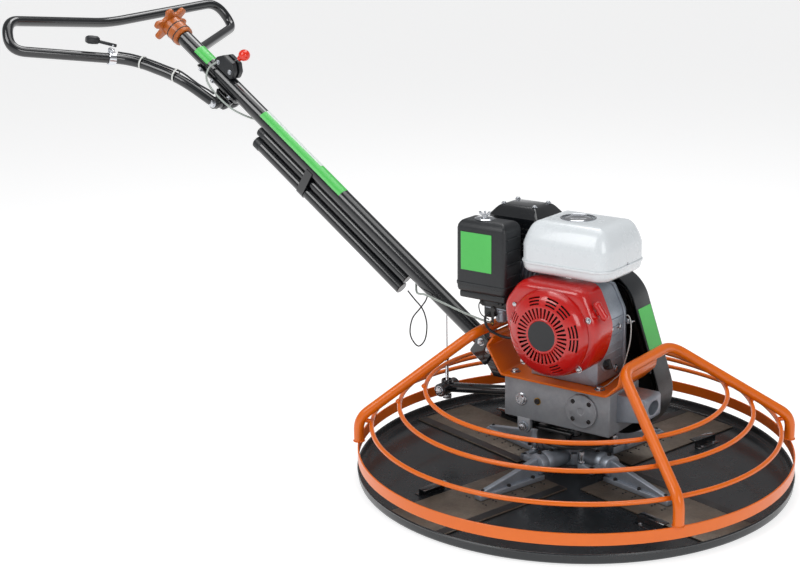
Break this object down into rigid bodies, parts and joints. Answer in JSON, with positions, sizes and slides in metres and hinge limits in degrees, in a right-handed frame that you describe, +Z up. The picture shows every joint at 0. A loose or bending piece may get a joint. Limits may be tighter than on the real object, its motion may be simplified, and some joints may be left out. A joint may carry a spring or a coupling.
{
  "type": "power trowel",
  "caption": "Walk-behind concrete trowel: engine over a gearbox, four pitching blades on a round float pan inside guard rings, long tube handle with a triangular handlebar.",
  "frame": {"origin": "centre of the float pan's flat underside, on the rotor's axis", "axes": "+Z up, +X forward away from the operator, +Y to the operator's left"},
  "size_m": [2.3525, 1.18, 1.1796],
  "materials": {
    "orange_paint": "gloss orange enamel",
    "black_paint": "gloss black enamel",
    "pan_steel": "smooth dark steel, oiled",
    "blade_steel": "rolled, brownish mill finish",
    "cast_alu": "as cast, satin",
    "steel": "machined",
    "dark_steel": "dark, oiled",
    "red_paint": "gloss red enamel",
    "tank_white": "gloss off-white",
    "black_plastic": "satin",
    "rubber": "matt",
    "chrome": "polished",
    "brass": "machined",
    "knob_red": "gloss",
    "star_orange": "gloss, slightly worn",
    "cable_grey": "satin sheath"
  },
  "bodies": {
    "frame": {"guard_band": "orange_paint", "guard_ring_low": "orange_paint", "guard_ring_mid": "orange_paint", "guard_ring_top": "orange_paint", "guard_tube_front": "orange_paint", "guard_tube_rear": "orange_paint", "gearbox_housing": "cast_alu", "gearbox_cover": "cast_alu", "yoke_pivot_pin": "steel", "engine_plate": "orange_paint", "crankcase": "cast_alu", "cylinder_head": "cast_alu", "v_belt": "rubber", "belt_guard": "black_plastic", "blower_housing": "red_paint", "recoil_cover": "red_paint", "fuel_tank": "tank_white", "air_cleaner": "black_plastic", "muffler": "black_paint", "carburettor": "cast_alu", "main_tube": "black_paint", "lifting_pole_a": "black_paint", "lifting_pole_b": "black_paint", "pole_strap": "black_paint", "handlebar_bracket": "black_paint", "lever_housing": "black_plastic", "handle_foot": "black_paint", "throttle_cable": "cable_grey", "slack_loop": "black_plastic"},
    "rotor": {"spider_hub": "cast_alu", "output_shaft": "steel", "worm_wheel": "brass"},
    "arm_assembly_1": {"arm_1": "cast_alu", "blade_1": "blade_steel"},
    "arm_assembly_2": {"arm_2": "cast_alu", "blade_2": "blade_steel"},
    "arm_assembly_3": {"arm_3": "cast_alu", "blade_3": "blade_steel"},
    "arm_assembly_4": {"arm_4": "cast_alu", "blade_4": "blade_steel"},
    "pan": {"float_pan": "pan_steel"},
    "thrust": {"thrust_plate": "dark_steel"},
    "yoke": {"pitch_yoke": "black_paint"},
    "lift_rod": {"pitch_rod": "dark_steel"},
    "screw_nut": {"pitch_nut": "steel"},
    "pitch_wheel": {"star_wheel": "star_orange"},
    "crank": {"crankshaft": "steel", "flywheel": "cast_alu"},
    "drum": {"clutch_drum": "dark_steel"},
    "input": {"worm_shaft": "steel", "input_pulley": "dark_steel"},
    "starter": {"starter_grip": "red_paint"},
    "throttle": {"throttle_lever": "knob_red"},
    "carb_arm": {"throttle_arm": "dark_steel"},
    "choke": {"choke_lever": "black_plastic"},
    "cap": {"fuel_cap": "chrome"},
    "bar": {"handlebar": "black_paint", "stop_clamp": "chrome", "stop_cable": "black_plastic"},
    "stop": {"stop_lever": "black_plastic"}
  },
  "joints": [
    {"name": "rotor_spin", "type": "hinge", "parent": "frame", "child": "rotor", "pos_m": [0, 0, 0], "axis": [0, 0, 1], "continuous": true},
    {"name": "arm_1_pitch", "type": "hinge", "parent": "rotor", "child": "arm_assembly_1", "pos_m": [0, 0, 0.05], "axis": [0.9673, -0.2538, 0], "range_deg": [0, 11.5]},
    {"name": "arm_2_pitch", "type": "hinge", "parent": "rotor", "child": "arm_assembly_2", "pos_m": [0, 0, 0.05], "axis": [0.2538, 0.9673, 0], "range_deg": [0, 11.5]},
    {"name": "arm_3_pitch", "type": "hinge", "parent": "rotor", "child": "arm_assembly_3", "pos_m": [0, 0, 0.05], "axis": [-0.9673, 0.2538, 0], "range_deg": [0, 11.5]},
    {"name": "arm_4_pitch", "type": "hinge", "parent": "rotor", "child": "arm_assembly_4", "pos_m": [0, 0, 0.05], "axis": [-0.2538, -0.9673, 0], "range_deg": [0, 11.5]},
    {"name": "pan_drop", "type": "slide", "parent": "rotor", "child": "pan", "axis": [0, 0, -1], "range_m": [0, 0.019]},
    {"name": "thrust_press", "type": "slide", "parent": "frame", "child": "thrust", "axis": [0, 0, -1], "range_m": [0, 0.012]},
    {"name": "yoke_tilt", "type": "hinge", "parent": "frame", "child": "yoke", "pos_m": [-0.112, 0, 0.125], "axis": [0, 1, 0], "range_deg": [0, 5.64]},
    {"name": "rod_lift", "type": "slide", "parent": "frame", "child": "lift_rod", "axis": [0, 0, 1], "range_m": [0, 0.0308]},
    {"name": "nut_slide", "type": "slide", "parent": "frame", "child": "screw_nut", "axis": [-0.8202, 0, 0.5721], "range_m": [0, 0.0308]},
    {"name": "star_turn", "type": "hinge", "parent": "frame", "child": "pitch_wheel", "pos_m": [-1.429, 0, 1.103], "axis": [0.8202, 0, -0.5721], "range_deg": [0, 720]},
    {"name": "crank_spin", "type": "hinge", "parent": "frame", "child": "crank", "pos_m": [0.008, 0, 0.428], "axis": [0, 1, 0], "continuous": true},
    {"name": "drum_spin", "type": "hinge", "parent": "frame", "child": "drum", "pos_m": [0.008, 0, 0.428], "axis": [0, 1, 0], "continuous": true},
    {"name": "input_spin", "type": "hinge", "parent": "frame", "child": "input", "pos_m": [0.068, 0, 0.205], "axis": [0, 1, 0], "continuous": true},
    {"name": "starter_pull", "type": "slide", "parent": "frame", "child": "starter", "axis": [0.7931, 0, 0.6091], "range_m": [0, 0.22], "stiffness_N_per_m": 30, "springref_m": -0.1},
    {"name": "throttle_turn", "type": "hinge", "parent": "frame", "child": "throttle", "pos_m": [-1.22553, 0, 1.01714], "axis": [0, -1, 0], "range_deg": [0, 50]},
    {"name": "carb_arm_turn", "type": "hinge", "parent": "frame", "child": "carb_arm", "pos_m": [-0.204, 0, 0.44], "axis": [0, -1, 0], "range_deg": [0, 25]},
    {"name": "choke_turn", "type": "hinge", "parent": "frame", "child": "choke", "pos_m": [-0.176, 0, 0.462], "axis": [0, -1, 0], "range_deg": [0, 40]},
    {"name": "cap_turn", "type": "hinge", "parent": "frame", "child": "cap", "pos_m": [0.002, -0.003, 0.68], "axis": [0, 0, 1], "range_deg": [0, 90]},
    {"name": "bar_tilt", "type": "hinge", "parent": "frame", "child": "bar", "pos_m": [-1.243, 0, 0.908], "axis": [0, 1, 0], "range_deg": [-12, 12]},
    {"name": "stop_press", "type": "hinge", "parent": "bar", "child": "stop", "pos_m": [-1.52486, -0.18706, 1.07545], "axis": [0.9113, -0.4117, 0], "range_deg": [0, 14], "stiffness_Nm_per_rad": 1.5, "springref_deg": -14.32}
  ],
  "couplings": [
    {"joint": "arm_1_pitch", "follows": "yoke_tilt", "ratio": 2.037},
    {"joint": "arm_2_pitch", "follows": "yoke_tilt", "ratio": 2.037},
    {"joint": "arm_3_pitch", "follows": "yoke_tilt", "ratio": 2.037},
    {"joint": "arm_4_pitch", "follows": "yoke_tilt", "ratio": 2.037},
    {"joint": "pan_drop", "follows": "yoke_tilt", "m_per_rad": 0.19282},
    {"joint": "thrust_press", "follows": "yoke_tilt", "m_per_rad": 0.12178},
    {"joint": "rod_lift", "follows": "yoke_tilt", "m_per_rad": 0.31258},
    {"joint": "nut_slide", "follows": "yoke_tilt", "m_per_rad": 0.31258},
    {"joint": "star_turn", "follows": "yoke_tilt", "ratio": 127.53},
    {"joint": "input_spin", "follows": "rotor_spin", "ratio": 20},
    {"joint": "drum_spin", "follows": "rotor_spin", "ratio": 28},
    {"joint": "carb_arm_turn", "follows": "throttle_turn", "ratio": 0.5}
  ]
}
